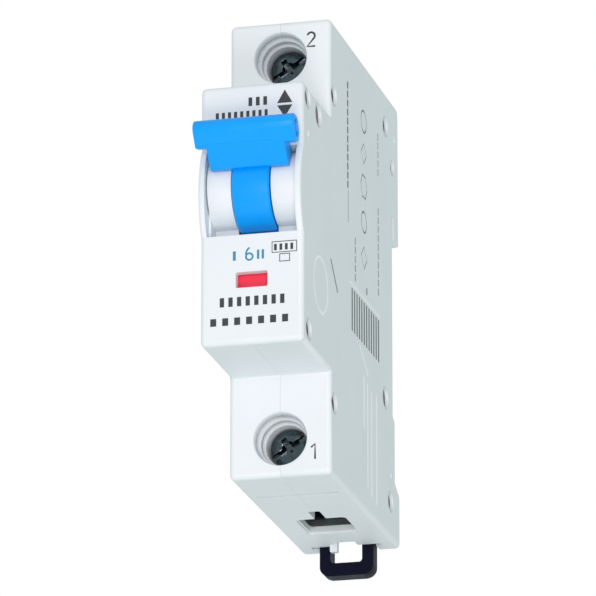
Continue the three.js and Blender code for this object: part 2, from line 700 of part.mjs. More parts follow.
function addRailLatch() {
  const { halfWidth, front, back, bottom, top } = LATCH;
  const plate = sidePrism(outline([
    [front, bottom], [back, bottom], [back, top - 2.6], [back - 2.2, top], [front, top],
  ]), [-halfWidth, halfWidth]);
  const latch = cut(
    union(plate, box([-5.8, 5.8], [front, front + 0.9], [-35, -24])),
    box([-2.8, 2.8], [0, 6], [-42.9, -38.2]),
    box([-1.7, 1.7], [0, 6], [-29.5, -19.5]),
  );
  addPart('rail_latch', latch, LATCH_BLACK);
  addPart('latch_spring', coilSpring([0, 3.2, -27.7], [0, 3.2, -19.9], 1.1, 6, 0.25), STEEL);
}

addHousing();
addRivets();
addToggle();
addDriveLink();
addContactArm();
addFixedContact();
addTripLever();
addSolenoid();
addArcChute();
addThermalTrip();
addTerminalStrips();
addTerminals();
addIndicator();
addRailLatch();

export default group;
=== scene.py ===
"""Looks of a single-pole miniature circuit breaker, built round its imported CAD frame.

Pieces are modelled in millimetres in the frame's own axes (+X right, +Y back to the rail,
+Z up) and brought to metres when they are handed to the frame.
"""

import json
import math

import bmesh
import bpy
from mathutils import Matrix, Vector


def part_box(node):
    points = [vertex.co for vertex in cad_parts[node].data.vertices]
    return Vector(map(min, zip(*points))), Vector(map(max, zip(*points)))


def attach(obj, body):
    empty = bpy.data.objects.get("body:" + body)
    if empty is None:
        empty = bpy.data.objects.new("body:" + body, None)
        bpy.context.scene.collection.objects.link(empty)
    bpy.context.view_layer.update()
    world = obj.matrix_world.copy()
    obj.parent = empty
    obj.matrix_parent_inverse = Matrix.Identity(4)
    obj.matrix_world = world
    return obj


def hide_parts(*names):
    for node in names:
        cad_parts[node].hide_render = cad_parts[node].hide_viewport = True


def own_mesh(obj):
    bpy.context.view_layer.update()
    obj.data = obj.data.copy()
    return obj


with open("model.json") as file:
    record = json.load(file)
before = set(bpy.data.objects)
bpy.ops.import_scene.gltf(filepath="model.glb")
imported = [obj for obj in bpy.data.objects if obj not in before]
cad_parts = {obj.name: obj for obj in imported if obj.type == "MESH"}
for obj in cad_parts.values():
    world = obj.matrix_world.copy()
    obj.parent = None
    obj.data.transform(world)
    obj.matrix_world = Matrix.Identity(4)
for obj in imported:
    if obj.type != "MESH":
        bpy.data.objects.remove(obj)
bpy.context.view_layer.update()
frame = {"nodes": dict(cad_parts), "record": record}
NODES = frame["nodes"]
MM = 0.001
MM_TO_METRES = Matrix.Scale(MM, 4)

# ---- sizes, in millimetres ----------------------------------------------------------


def span(node, axis):
    """Lowest and highest coordinate of a CAD node along axis 0, 1 or 2."""
    low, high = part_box(node)
    return low[axis] / MM, high[axis] / MM


HALF_WIDTH = span("housing_left", 0)[1]
SIDES = (-HALF_WIDTH, HALF_WIDTH)
# a cutter along X that goes past both side faces
THROUGH = (-HALF_WIDTH - 1, HALF_WIDTH + 1)
WALL = 1.4
INNER_HALF = HALF_WIDTH - WALL
# ribs and bosses along X, sunk a little into both side walls
BETWEEN_WALLS = (-INNER_HALF - 0.1, INNER_HALF + 0.1)
BODY_TOP = span("housing_left", 2)[1]
NOSE_TOP = 22.5
SHOULDER_Y = -44.0
NOSE_Y = -62.8
SEAM_Y = -61.3
SEAM_GAP = 0.025
BACK_Y = span("housing_left", 1)[1]
CAVITY_BACK_Y = -1.7
EDGE_ROUND = 0.85

RAIL_HOOK_Z = 14.5
RAIL_SLOT_FLOOR = -0.3
RAIL_SLOT_LIP = 1.3
RAIL_SLOT_TOP = 18.6
FOOT_FLOOR = 1.4
FOOT_TOP = -17.8
FOOT_RAMP = -29.5
FOOT_BACK = -31.5

PIVOT = (-57.2, 5.0)
DRUM_RADIUS = 7.0
DRUM_HALF = 3.2
CRANK_RADIUS = 4
CRANK_ANGLE = math.radians(-71)
HUMP_RADIUS = 6.4
HUMP_INNER = 5.2
SLOT_HALF = 3.4
OPENING_HALF = 7.7
OPENING = (-3.7, 11.2)
CHEEK_BULGE = 1.9
GRIP_HALF = span("toggle", 0)[1]
HEAD_HALF = 6.65

TERMINAL_Z = 33.5
BORE_RADIUS = 4.4
WINDOW = (-12.85, -10.15)
WINDOW_HALF = 2.7
CARRIER_PIVOT = (-43.0, -5.0)
TRIP_PIVOT = (-49.0, -9.5)
COIL_Z = 16.0

LATCH_HALF = 4.8
FLANGE_HALF = 5.8
LATCH_FRONT = 1.7
LATCH_BACK = 4.9
FLANGE_BACK = LATCH_FRONT + 0.9
LATCH_SPRING = (-27.7, -19.9)
LATCH_SPRING_Y = 3.2
LATCH_GAUGE = 0.25

WELL_RADIUS = 1.9
WELL_DEPTH = 1.0
DIMPLE_DEPTH = 0.9
# dimples from this radius up show the end of a pin, dark to paint the shade in them
WIDE_DIMPLE = 1.5
RIVET_BORE = 1.1
BOSS_RADIUS = 2.1
# rivet axes in the side view, as (y, z)
RIVETS = [(-59.7, 20.3), (-41.6, 26.8), (-4.5, 33.7), (-59.0, -19.6), (-41.6, -27.4), (-1.7, -33.6)]
# blind round dimples in both side faces, as (y, z, radius)
DIMPLES = [
    (-59.7, 14.0, 0.75), (-52.4, 19.7, 2.1), (1.7, 33.0, 0.7),
    (-5.2, -16.0, 2.0), (-1.7, -29.0, 0.7), (0.4, 27.6, 1.5),
]

# rows of printed dashes on the side faces, as (y, lowest z, highest z, half width)
DASH_ROWS = [
    (-32.0, 13.5, 33.0, 0.5), (-26.8, -1.5, 7.5, 0.3), (-10.1, 22.7, 32.0, 0.26), (-10.1, 1.0, 18.0, 0.3),
    (-18.6, -1.5, 1.5, 0.4),
]
DASH = 1.3
DASH_STEP = 1.62
# plain outline marks between the rows, as (z, half height, number of corners)
MARK_Y = -20.5
MARK_LINE = 0.36
MARKS = [(29.2, 2.1, 40), (23.4, 2.0, 4), (17.4, 2.4, 6), (11.0, 2.0, 40), (4.6, 2.2, 4)]
RIB_FIELD = (-11.0, -3.4)
RIB_STARTS = [-29.6 + 1.72 * i for i in range(12)]
RIB_WIDTH = 1.05
# pale upright lines low on the right side, painted highlights of its ridges, as (y, lowest z, highest z)
HIGHLIGHT_RIDGES = [(-21.0, -26.0, -16.6), (-18.4, -35.5, -17.2), (-15.6, -36.5, -18.0), (-12.0, -37.0, -17.5)]
MARK_DEPTH = 0.1

# ---- mesh helpers -------------------------------------------------------------------

EDGE_ANGLE = math.radians(35)
SMOOTH_ANGLE = math.radians(38)
FLAT_AREA = 9.0
MERGE = 2e-4
WIRE_SIDES = 3
HELIX_STEPS = 28

PLACE = {
    "x": lambda u, v, along: (along, u, v),
    "y": lambda u, v, along: (u, along, v),
    "z": lambda u, v, along: (u, v, along),
}


def add_object(name, data):
    obj = bpy.data.objects.new(name, data)
    bpy.context.scene.collection.objects.link(obj)
    return obj


def mesh_object(name, points, faces):
    """A mesh object with its faces turned outwards."""
    mesh = bpy.data.meshes.new(name)
    mesh.from_pydata(points, [], faces)
    work = bmesh.new()
    work.from_mesh(mesh)
    bmesh.ops.recalc_face_normals(work, faces=work.faces)
    work.to_mesh(mesh)
    work.free()
    return add_object(name, mesh)


def prism(axis, outline, along):
    """A closed prism: an outline across the axis, between two places along it."""
    place = PLACE[axis]
    count = len(outline)
    points = [place(u, v, end) for end in along for u, v in outline]
    faces = [list(range(count)), list(range(count, 2 * count))]
    for i in range(count):
        j = (i + 1) % count
        faces.append((i, j, count + j, count + i))
    return mesh_object("prism", points, faces)


def turned(axis, profile, centre=(0.0, 0.0), segments=48):
    """A body of revolution. The profile is (radius, along) from axis to axis, or a closed ring."""
    place = PLACE[axis]
    points = []
    rings = []
    for radius, along in profile:
        if radius == 0:
            rings.append([len(points)])
            points.append(place(centre[0], centre[1], along))
            continue
        rings.append(list(range(len(points), len(points) + segments)))
        for i in range(segments):
            angle = 2 * math.pi * i / segments
            u = centre[0] + radius * math.cos(angle)
            v = centre[1] + radius * math.sin(angle)
            points.append(place(u, v, along))
    pairs = list(zip(rings, rings[1:]))
    if profile[0][0] > 0:
        pairs.append((rings[-1], rings[0]))
    faces = []
    for first, second in pairs:
        for i in range(segments):
            j = (i + 1) % segments
            corners = [first[i % len(first)], first[j % len(first)]]
            corners += [second[j % len(second)], second[i % len(second)]]
            faces.append(list(dict.fromkeys(corners)))
    return mesh_object("turned", points, faces)


def disc(axis, radius, along, centre=(0.0, 0.0), segments=48):
    """A plain round cutter or core between two places along the axis."""
    low, high = along
    return turned(axis, [(0, low), (radius, low), (radius, high), (0, high)], centre, segments)


def arc(centre, radius, start, end, steps):
    """Points of an arc in degrees."""
    points = []
    for i in range(steps + 1):
        angle = math.radians(start + (end - start) * i / steps)
        points.append((centre[0] + radius * math.cos(angle), centre[1] + radius * math.sin(angle)))
    return points


def rounded(corners, steps=5):
    """An outline whose corners (u, v, radius) are rounded with a tangent arc of that radius."""
    points = []
    count = len(corners)
    for i, (u, v, radius) in enumerate(corners):
        corner = Vector((u, v))
        before = (Vector(corners[i - 1][:2]) - corner).normalized()
        after = (Vector(corners[(i + 1) % count][:2]) - corner).normalized()
        half = before.angle(after) / 2
        if radius == 0:
            points.append((u, v))
            continue
        reach = radius / math.tan(half)
        middle = corner + (before + after).normalized() * (radius / math.sin(half))
        first = corner + before * reach - middle
        last = corner + after * reach - middle
        sweep = first.angle_signed(last)
        for k in range(steps + 1):
            turn = -sweep * k / steps
            x = first.x * math.cos(turn) - first.y * math.sin(turn)
            y = first.x * math.sin(turn) + first.y * math.cos(turn)
            points.append((middle.x + x, middle.y + y))
    return points


def rectangle(u, v, radius=0.0, steps=5):
    corners = [(u[0], v[0], radius), (u[1], v[0], radius), (u[1], v[1], radius), (u[0], v[1], radius)]
    return rounded(corners, steps)


def block(x, y, z, radius=0.0, axis="x"):
    """A block, with the four edges along one axis rounded."""
    ranges = {"x": (y, z, x), "y": (x, z, y), "z": (x, y, z)}
    u, v, along = ranges[axis]
    return prism(axis, rectangle(u, v, radius), along)


def apply_modifiers(obj):
    """Replaces the mesh with its modified form."""
    depsgraph = bpy.context.evaluated_depsgraph_get()
    mesh = bpy.data.meshes.new_from_object(obj.evaluated_get(depsgraph))
    old = obj.data
    obj.modifiers.clear()
    obj.data = mesh
    bpy.data.meshes.remove(old)
    return obj


def combine(obj, operation, tools):
    """Joins, cuts or intersects obj with each tool, which is then removed."""
    for tool in tools:
        modifier = obj.modifiers.new("combine", "BOOLEAN")
        modifier.operation = operation
        modifier.solver = "MANIFOLD"
        modifier.object = tool
    apply_modifiers(obj)
    for tool in tools:
        bpy.data.objects.remove(tool)
    return obj


def cut(obj, *tools):
    return combine(obj, "DIFFERENCE", tools)


def join(obj, *tools):
    return combine(obj, "UNION", tools)


def common(obj, tool):
    return combine(obj, "INTERSECT", [tool])


def copy_of(obj):
    return add_object(obj.name, obj.data.copy())


def fuse(objects):
    """Puts several meshes into the first one, without joining their surfaces."""
    first = objects[0]
    work = bmesh.new()
    for obj in objects:
        work.from_mesh(obj.data)
    work.to_mesh(first.data)
    work.free()
    for obj in objects[1:]:
        bpy.data.objects.remove(obj)
    return first


def round_side_edges(obj, radius, steps=5):
    """Rounds the long edges of a prism drawn in the side view, where it meets the side faces."""
    work = bmesh.new()
    work.from_mesh(obj.data)
    reach = max(abs(v.co.x) for v in work.verts) - 1e-4
    edges = [
        e for e in work.edges
        if all(abs(v.co.x) > reach for v in e.verts) and e.verts[0].co.x * e.verts[1].co.x > 0
    ]
    bmesh.ops.bevel(
        work, geom=edges, offset=radius, segments=steps, profile=0.5, affect="EDGES", clamp_overlap=False,
    )
    work.to_mesh(obj.data)
    work.free()
    return obj


def tidy(obj):
    """Merges doubled points and dissolves the flat splits that cutting leaves."""
    work = bmesh.new()
    work.from_mesh(obj.data)
    bmesh.ops.remove_doubles(work, verts=work.verts, dist=MERGE)
    bmesh.ops.dissolve_degenerate(work, edges=work.edges, dist=MERGE)
    bmesh.ops.dissolve_limit(
        work, angle_limit=math.radians(0.2), verts=work.verts, edges=work.edges,
        use_dissolve_boundaries=False,
    )
    work.to_mesh(obj.data)
    work.free()
    return obj


def soften(obj, width):
    """Takes the sharpness off the edges and keeps the flats flat."""
    tidy(obj)
    modifier = obj.modifiers.new("edges", "BEVEL")
    modifier.width = width
    modifier.segments = 2
    modifier.limit_method = "ANGLE"
    modifier.angle_limit = EDGE_ANGLE
    modifier.use_clamp_overlap = True
    modifier.miter_outer = "MITER_ARC"
    apply_modifiers(obj)
    return shade(obj)


def is_flat(face):
    """True for faces square to an axis, and for large ones."""
    return max(abs(part) for part in face.normal) > 0.99999 or face.calc_area() > FLAT_AREA


def corner_normal(face, vertex, limit):
    """Normal of a curved face at one corner: that of the flat it meets, or the mean of its like."""
    near = [other for other in vertex.link_faces if other.normal.dot(face.normal) > limit]
    flats = [other for other in near if is_flat(other)]
    if flats:
        return max(flats, key=lambda other: other.normal.dot(face.normal)).normal.copy()
    different = []
    for other in near:
        if all(other.normal.dot(normal) < 0.9999 for normal in different):
            different.append(other.normal)
    return sum(different, Vector()).normalized()


def shade(obj):
    """Smooth shading up to an angle, in which the flats stay flat."""
    limit = math.cos(SMOOTH_ANGLE)
    work = bmesh.new()
    work.from_mesh(obj.data)
    normals = []
    for face in work.faces:
        face.smooth = True
        flat = is_flat(face)
        for vertex in face.verts:
            normals.append(face.normal.copy() if flat else corner_normal(face, vertex, limit))
    work.to_mesh(obj.data)
    work.free()
    obj.data.normals_split_custom_set(normals)
    return obj


def wire(name, points, radius):
    """A round wire along a list of points, with closed ends."""
    curve = bpy.data.curves.new(name, "CURVE")
    curve.dimensions = "3D"
    curve.bevel_depth = radius
    curve.bevel_resolution = WIRE_SIDES
    curve.use_fill_caps = True
    spline = curve.splines.new("POLY")
    spline.points.add(len(points) - 1)
    for point, place in zip(spline.points, points):
        point.co = (*place, 1)
    source = add_object(name, curve)
    depsgraph = bpy.context.evaluated_depsgraph_get()
    mesh = bpy.data.meshes.new_from_object(source.evaluated_get(depsgraph))
    bpy.data.objects.remove(source)
    obj = add_object(name, mesh)
    for face in mesh.polygons:
        face.use_smooth = True
    return obj


def helix(axis, centre, along, radius, turns):
    """Points of a helix whose axis runs through centre, from one place to another."""
    place = PLACE[axis]
    count = round(turns * HELIX_STEPS)
    points = []
    for i in range(count + 1):
        share = i / count
        angle = 2 * math.pi * turns * share
        u = centre[0] + radius * math.cos(angle)
        v = centre[1] + radius * math.sin(angle)
        points.append(place(u, v, along[0] + (along[1] - along[0]) * share))
    return points


def hand_over(obj, name, body, slot, material, *nodes):
    """Names a finished piece, brings it to metres and puts it on its body."""
    obj.name = name
    obj.data.name = name
    obj.data.transform(MM_TO_METRES)
    obj.data.materials.clear()
    obj.data.materials.append(material)
    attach(obj, body)
    if nodes:
        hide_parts(*nodes)
    return obj


# ---- materials ----------------------------------------------------------------------


def srgb(red, green, blue):
    """A shader colour from 8-bit display values."""
    linear = []
    for value in (red, green, blue):
        share = value / 255
        linear.append(share / 12.92 if share <= 0.04045 else ((share + 0.055) / 1.055) ** 2.4)
    return (*linear, 1.0)


def scaled(color, factor):
    return (color[0] * factor, color[1] * factor, color[2] * factor, 1.0)


class Surface:
    """A procedural material made of noise layers over one principled shader."""

    def __init__(self, name, metallic=0.0, specular=0.5):
        self.material = bpy.data.materials.new(name)
        self.material.use_nodes = True
        self.nodes = self.material.node_tree.nodes
        self.links = self.material.node_tree.links
        self.shader = self.nodes["Principled BSDF"]
        self.shader.inputs["Metallic"].default_value = metallic
        self.shader.inputs["Specular IOR Level"].default_value = specular
        self.coordinates = self.nodes.new("ShaderNodeTexCoord")
        self.normal = None

    def stretched(self, stretch):
        mapping = self.nodes.new("ShaderNodeMapping")
        mapping.inputs["Scale"].default_value = stretch
        self.links.new(self.coordinates.outputs["Object"], mapping.inputs["Vector"])
        return mapping.outputs["Vector"]

    def noise(self, grain, detail=3.0, stretch=(1, 1, 1)):
        """A noise whose grains are about that many millimetres across."""
        node = self.nodes.new("ShaderNodeTexNoise")
        node.inputs["Scale"].default_value = 1 / (grain * MM)
        node.inputs["Detail"].default_value = detail
        self.links.new(self.stretched(stretch), node.inputs["Vector"])
        return node.outputs["Fac"]

    def ramp(self, source, stops):
        node = self.nodes.new("ShaderNodeValToRGB")
        elements = node.color_ramp.elements
        while len(elements) < len(stops):
            elements.new(0.5)
        for element, (position, color) in zip(elements, stops):
            element.position = position
            element.color = color
        self.links.new(source, node.inputs["Fac"])
        return node.outputs["Color"]

    def color(self, source, dark, light, low=0.35, high=0.65):
        self.links.new(self.ramp(source, [(low, dark), (high, light)]), self.shader.inputs["Base Color"])

    def roughness(self, source, low, high):
        node = self.nodes.new("ShaderNodeMapRange")
        node.inputs["From Min"].default_value = 0.3
        node.inputs["From Max"].default_value = 0.7
        node.inputs["To Min"].default_value = low
        node.inputs["To Max"].default_value = high
        self.links.new(source, node.inputs["Value"])
        self.links.new(node.outputs["Result"], self.shader.inputs["Roughness"])

    def bump(self, source, height, strength=1.0):
        """Raises the surface by that many millimetres; calls add up."""
        node = self.nodes.new("ShaderNodeBump")
        node.inputs["Strength"].default_value = strength
        node.inputs["Distance"].default_value = height * MM
        self.links.new(source, node.inputs["Height"])
        if self.normal:
            self.links.new(self.normal, node.inputs["Normal"])
        self.normal = node.outputs["Normal"]
        self.links.new(self.normal, self.shader.inputs["Normal"])


def moulded_plastic(name, color, rough, grain=0.35, height=0.006, variation=0.04, specular=0.5):
    """Moulded plastic: spark-eroded grain, faint flow marks and uneven gloss."""
    surface = Surface(name, specular=specular)
    surface.color(surface.noise(14, 2), scaled(color, 1 - variation), color)
    surface.roughness(surface.noise(2.5, 4), rough - 0.05, rough + 0.07)
    surface.bump(surface.noise(grain, 4), height, 0.6)
    surface.bump(surface.noise(6, 1), 0.008, 0.15)
    return surface.material


def worked_metal(name, color, rough, stretch=(1, 1, 1), grain=0.25, height=0.004, tint=0.7):
    """Metal with drawn or stamped grain and slightly uneven tarnish."""
    surface = Surface(name, metallic=1.0)
    surface.color(surface.noise(3, 5), scaled(color, tint), color, 0.3, 0.6)
    surface.roughness(surface.noise(grain * 2, 3, stretch), rough - 0.08, rough + 0.12)
    surface.bump(surface.noise(grain, 3, stretch), height, 0.7)
    return surface.material


def fibre_board():
    """Pressed fibre board: long flat fibres and specks."""
    surface = Surface("fibre_board", specular=0.2)
    tan = srgb(201, 176, 138)
    surface.color(surface.noise(0.9, 6, (1, 0.25, 1)), scaled(tan, 0.6), tan, 0.3, 0.7)
    surface.roughness(surface.noise(0.6, 4), 0.75, 0.95)
    surface.bump(surface.noise(0.5, 5, (1, 0.3, 1)), 0.03, 0.8)
    return surface.material


MATERIALS = {
    "shell_plastic": moulded_plastic("shell_plastic", srgb(228, 236, 238), 0.46, variation=0.025),
    "handle_plastic": moulded_plastic(
        "handle_plastic", srgb(0, 161, 250), 0.3, grain=0.5, height=0.003, variation=0.08, specular=0.28,
    ),
    "latch_plastic": moulded_plastic(
        "latch_plastic", srgb(3, 7, 32), 0.42, grain=0.4, variation=0.2, specular=0.12,
    ),
    "flag_plastic": moulded_plastic(
        "flag_plastic", srgb(252, 52, 84), 0.4, grain=0.4, height=0.004, variation=0.08,
    ),
    "mechanism_plastic": moulded_plastic(
        "mechanism_plastic", srgb(48, 52, 58), 0.5, grain=0.4, height=0.01, variation=0.15,
    ),
    "fibre_board": fibre_board(),
    "copper": worked_metal("copper", srgb(214, 128, 84), 0.32, (1, 0.15, 1)),
    "contact_silver": worked_metal("contact_silver", srgb(226, 226, 220), 0.3, grain=0.4),
    "brass": worked_metal("brass", srgb(212, 180, 104), 0.3, (1, 1, 0.15)),
    "plated_steel": worked_metal("plated_steel", srgb(186, 190, 194), 0.3, (1, 0.3, 1)),
    "spring_steel": worked_metal("spring_steel", srgb(168, 170, 174), 0.26, grain=0.15, height=0.002),
}
# metal much darker than plated steel, for rivets and pin ends: painted shade deep in the wells and dimples
SHADE_DARK_RIVET_STEEL = worked_metal("shade_dark_rivet_steel", srgb(100, 112, 110), 0.42, grain=0.3, height=0.003, tint=0.85)
# screw metal darkened: painted shade and painted dark reflection of the deep bores the heads sit in
SHADE_DARK_SCREW_STEEL = worked_metal("shade_dark_screw_steel", srgb(86, 99, 103), 0.14, grain=0.5, height=0.001, tint=0.88)
CAGE_STEEL = worked_metal("cage_steel", srgb(74, 84, 102), 0.3, (1, 0.3, 1))
FLAG_GREEN = moulded_plastic(
    "flag_green", srgb(30, 150, 84), 0.4, grain=0.4, height=0.004, variation=0.08,
)


def printing_ink(name, color, rough, variation=0.1):
    return moulded_plastic(name, color, rough, grain=0.2, height=0.002, variation=variation)


PRINT_GREY = printing_ink("print_grey", srgb(54, 60, 65), 0.55)
PRINT_SIDE = printing_ink("print_side", srgb(106, 122, 120), 0.6)
# near white: painted highlights on the right side's ridges and relief ring
PAINTED_HIGHLIGHT = printing_ink("painted_highlight_ink", srgb(250, 253, 252), 0.5, 0.02)
PRINT_BLUE = printing_ink("print_blue", srgb(60, 140, 175), 0.55)

# ---- housing ------------------------------------------------------------------------


def body_outline():
    """Side view of the housing: shoulders, nose and back, with rounded corners."""
    half = BODY_TOP
    corner = 1.0
    return rounded([
        (SHOULDER_Y, half, corner), (SHOULDER_Y, NOSE_TOP, 0.3), (NOSE_Y, NOSE_TOP, corner),
        (NOSE_Y, -NOSE_TOP, corner), (SHOULDER_Y, -NOSE_TOP, 0.3), (SHOULDER_Y, -half, corner),
        (BACK_Y, -half, 0), (BACK_Y, half, 1.5),
    ])


def rail_recess():
    """The cutter for the rail seat: hook above, floor at the origin, ramp below."""
    return prism("x", [
        (BACK_Y + 2, RAIL_HOOK_Z), (RAIL_SLOT_LIP, RAIL_HOOK_Z), (RAIL_SLOT_LIP, RAIL_SLOT_TOP),
        (RAIL_SLOT_FLOOR, RAIL_SLOT_TOP), (RAIL_SLOT_FLOOR, RAIL_HOOK_Z), (0, RAIL_HOOK_Z),
        (0, FOOT_TOP), (FOOT_FLOOR, FOOT_TOP - 0.8), (FOOT_FLOOR, FOOT_RAMP),
        (BACK_Y, FOOT_BACK), (BACK_Y + 2, FOOT_BACK),
    ], THROUGH)


def cavity():
    """The hollow inside both shells."""
    nose = NOSE_TOP - WALL
    body = BODY_TOP - WALL
    shoulder = SHOULDER_Y + WALL
    front = NOSE_Y + WALL + 0.1
    hook = RAIL_SLOT_TOP + 1.6
    return prism("x", rounded([
        (shoulder, body, 0.6), (shoulder, nose, 0), (front, nose, 0.6), (front, -nose, 0.6),
        (shoulder, -nose, 0), (shoulder, -body, 0.6), (CAVITY_BACK_Y, -body, 0.6),
        (CAVITY_BACK_Y, hook, 0), (BACK_Y - WALL, hook, 0.4), (BACK_Y - WALL, body, 0.6),
    ]), (-INNER_HALF, INNER_HALF))


def bore_cutter(z):
    """Screwdriver bore that narrows in steps, with two snap grooves behind its mouth."""
    mouth = SHOULDER_Y
    wide = BORE_RADIUS
    narrow = wide - 0.38
    return turned("y", [
        (0, mouth - 1), (wide + 1.1, mouth - 1), (wide + 0.3, mouth - 0.05), (wide + 0.1, mouth + 0.25),
        (wide, mouth + 1.5), (wide + 0.9, mouth + 1.5), (wide + 0.9, mouth + 2.9), (narrow, mouth + 2.9),
        (narrow, mouth + 3.9), (narrow + 0.6, mouth + 3.9), (narrow + 0.6, mouth + 4.7),
        (narrow - 0.38, mouth + 4.7), (3.6, -38.6), (3.6, -34.7), (2.65, -34.7), (2.65, -33), (0, -33),
    ], (0, z), 96)


def collar(z):
    """The tube round a screwdriver bore, thicker where the snap groove is."""
    return turned("y", [
        (0, SHOULDER_Y + 0.5), (6.0, SHOULDER_Y + 0.5), (6.0, -40.4), (5.2, -39.6), (5.2, -33.5), (0, -33.5),
    ], (0, z), 64)


def wire_entry_cutters(side):
    """Mouth for the wire in the end face, with the narrow notch in front of it."""
    depth = sorted((side * (BODY_TOP - WALL - 0.2), side * (BODY_TOP + 1)))
    mouth = sorted((side * (BODY_TOP - 0.35), side * (BODY_TOP + 1)))
    return [
        block((-4.1, 4.1), (-16.5, -7), depth, 0.7, "z"),
        block((-4.35, 4.35), (-16.7, -6.8), mouth, 0.8, "z"),
        block((-1, 1), (-21.3, -16.2), depth, 0.3, "z"),
    ]


def end_face_groove(side):
    """Shallow groove across the end face, and a half-round nick on its left edge."""
    depth = sorted((side * (BODY_TOP - 0.6), side * (BODY_TOP + 1)))
    nick = sorted((side * (BODY_TOP - 2), side * (BODY_TOP + 1)))
    return [
        block((-7.1, 7.1), (-32.3, -31.4), depth, 0.1, "z"),
        disc("z", 0.8, nick, (-HALF_WIDTH, -17.2), 24),
    ]


def well_cutters():
    """Rivet wells, rivet bores and blind dimples in both side faces."""
    tools = [disc("x", RIVET_BORE, THROUGH, place, 24) for place in RIVETS]
    for side in (-1, 1):
        outside = side * (HALF_WIDTH + 1)
        floor = side * (HALF_WIDTH - WELL_DEPTH)
        rim = side * (HALF_WIDTH - DIMPLE_DEPTH)
        tools += [disc("x", WELL_RADIUS, sorted((floor, outside)), place, 40) for place in RIVETS]
        for y, z, radius in DIMPLES:
            profile = [(0, floor), (radius, rim), (radius, outside), (0, outside)]
            tools.append(turned("x", profile, (y, z), 32))
    return tools


def rib_cutters():
    """The grooves of the ribbed field, in both side faces."""
    tools = []
    for side in (-1, 1):
        depth = sorted((side * (HALF_WIDTH - 0.18), side * (HALF_WIDTH + 1)))
        tools += [block(depth, (y, y + RIB_WIDTH), RIB_FIELD) for y in RIB_STARTS]
    return tools


def latch_channel_cutters():
    """Room for the latch, its guide flange and its pull loop."""
    below = -BODY_TOP - 1
    z = (below, FOOT_RAMP)
    notch = rounded([(-2.1, below, 0), (2.1, below, 0), (2.1, -39.3, 0.6), (-2.1, -39.3, 0.6)])
    return [
        block((-LATCH_HALF - 0.25, LATCH_HALF + 0.25), (FOOT_FLOOR, BACK_Y + 1), z),
        block((-FLANGE_HALF - 0.3, FLANGE_HALF + 0.3), (FOOT_FLOOR, FLANGE_BACK + 0.3), z),
        prism("y", notch, (-0.9, FOOT_FLOOR + 0.1)),
    ]


def latch_peg():
    """Peg in the latch window that the latch spring rests on."""
    return block((-1.4, 1.4), (FOOT_FLOOR - 1, 4.4), (-29.2, -28), 0.3, "y")


def latch_tab():
    """Small stop on the left shell that shows inside the latch loop."""
    return block((-2.6, -1.3), (0.5, FOOT_FLOOR + 0.22), (-41.2, -38.9), 0.15, "y")


def pin_seats():
    """Blind seats in both shells for the ends of the three pins."""
    ends = (-INNER_HALF - 0.75, INNER_HALF + 0.75)
    return [
        disc("x", 1.5, ends, PIVOT, 32), disc("x", 1.2, ends, CARRIER_PIVOT, 32),
        disc("x", 1.0, ends, TRIP_PIVOT, 32),
    ]


def hump():
    """The round cover behind the handle, slotted for the drum, with the shelves that carry it."""
    low, high = OPENING
    shelf = (NOSE_Y + 0.8, PIVOT[0])
    ring = disc("x", HUMP_RADIUS, BETWEEN_WALLS, PIVOT, 96)
    cut(
        ring, disc("x", HUMP_INNER, SIDES, PIVOT, 96),
        block(SIDES, (PIVOT[0], PIVOT[0] + 9), (low - 5, high + 5)),
    )
    join(
        ring, block(BETWEEN_WALLS, shelf, (high, high + 1)), block(BETWEEN_WALLS, shelf, (low - 1, low)),
        block(BETWEEN_WALLS, (PIVOT[0] - 1, PIVOT[0]), (low - 1, PIVOT[1] - HUMP_INNER)),
    )
    return cut(ring, disc("x", DRUM_RADIUS + 0.25, (-SLOT_HALF, SLOT_HALF), PIVOT, 96))


def cheek(side):
    """Thin wall that bulges forward beside the handle."""
    low, high = OPENING
    half_chord = (high - low) / 2
    radius = (half_chord**2 + CHEEK_BULGE**2) / (2 * CHEEK_BULGE)
    centre = (NOSE_Y - CHEEK_BULGE + radius, (low + high) / 2)
    width = sorted((side * OPENING_HALF, side * HALF_WIDTH))
    plate = disc("x", radius, width, centre, 192)
    common(plate, block(SIDES, (NOSE_Y - 3, SEAM_Y), (low, high)))
    work = bmesh.new()
    work.from_mesh(plate.data)
    front = [
        e for e in work.edges
        if all(abs(abs(v.co.x) - HALF_WIDTH) < 1e-3 and v.co.y < NOSE_Y + 0.05 for v in e.verts)
    ]
    bmesh.ops.bevel(work, geom=front, offset=0.5, segments=3, profile=0.5, affect="EDGES")
    work.to_mesh(plate.data)
    work.free()
    return plate


def housing_solid():
    """Everything of the housing before it is split into its two shells."""
    solid = round_side_edges(prism("x", body_outline(), SIDES), EDGE_ROUND)
    low, high = OPENING
    cut(
        solid, cavity(), rail_recess(),
        block((-OPENING_HALF, OPENING_HALF), (NOSE_Y - 1, SEAM_Y), (low, high)),
    )
    barrier = (-17.5, CAVITY_BACK_Y + 0.1)
    barriers = [block(BETWEEN_WALLS, barrier, z) for z in ((-28.2, -27.2), (27.2, 28.2))]
    bosses = [disc("x", BOSS_RADIUS, BETWEEN_WALLS, place, 32) for place in RIVETS]
    join(solid, *bosses, *barriers, collar(TERMINAL_Z), collar(-TERMINAL_Z))
    window = block((-WINDOW_HALF, WINDOW_HALF), (NOSE_Y - 1, SEAM_Y + 1), WINDOW, 0.25, "y")
    cut(
        solid, *well_cutters(), *rib_cutters(), window, bore_cutter(TERMINAL_Z), bore_cutter(-TERMINAL_Z),
        *wire_entry_cutters(1), *wire_entry_cutters(-1), *end_face_groove(1), *end_face_groove(-1),
        *latch_channel_cutters(), *pin_seats(),
    )
    return solid


def outline_mark(place, radius, line, corners, depth):
    """A ring or polygon of even line in a side face."""
    near, far = depth
    inner = radius - line
    return turned("x", [(inner, near), (radius, near), (radius, far), (inner, far)], place, corners)


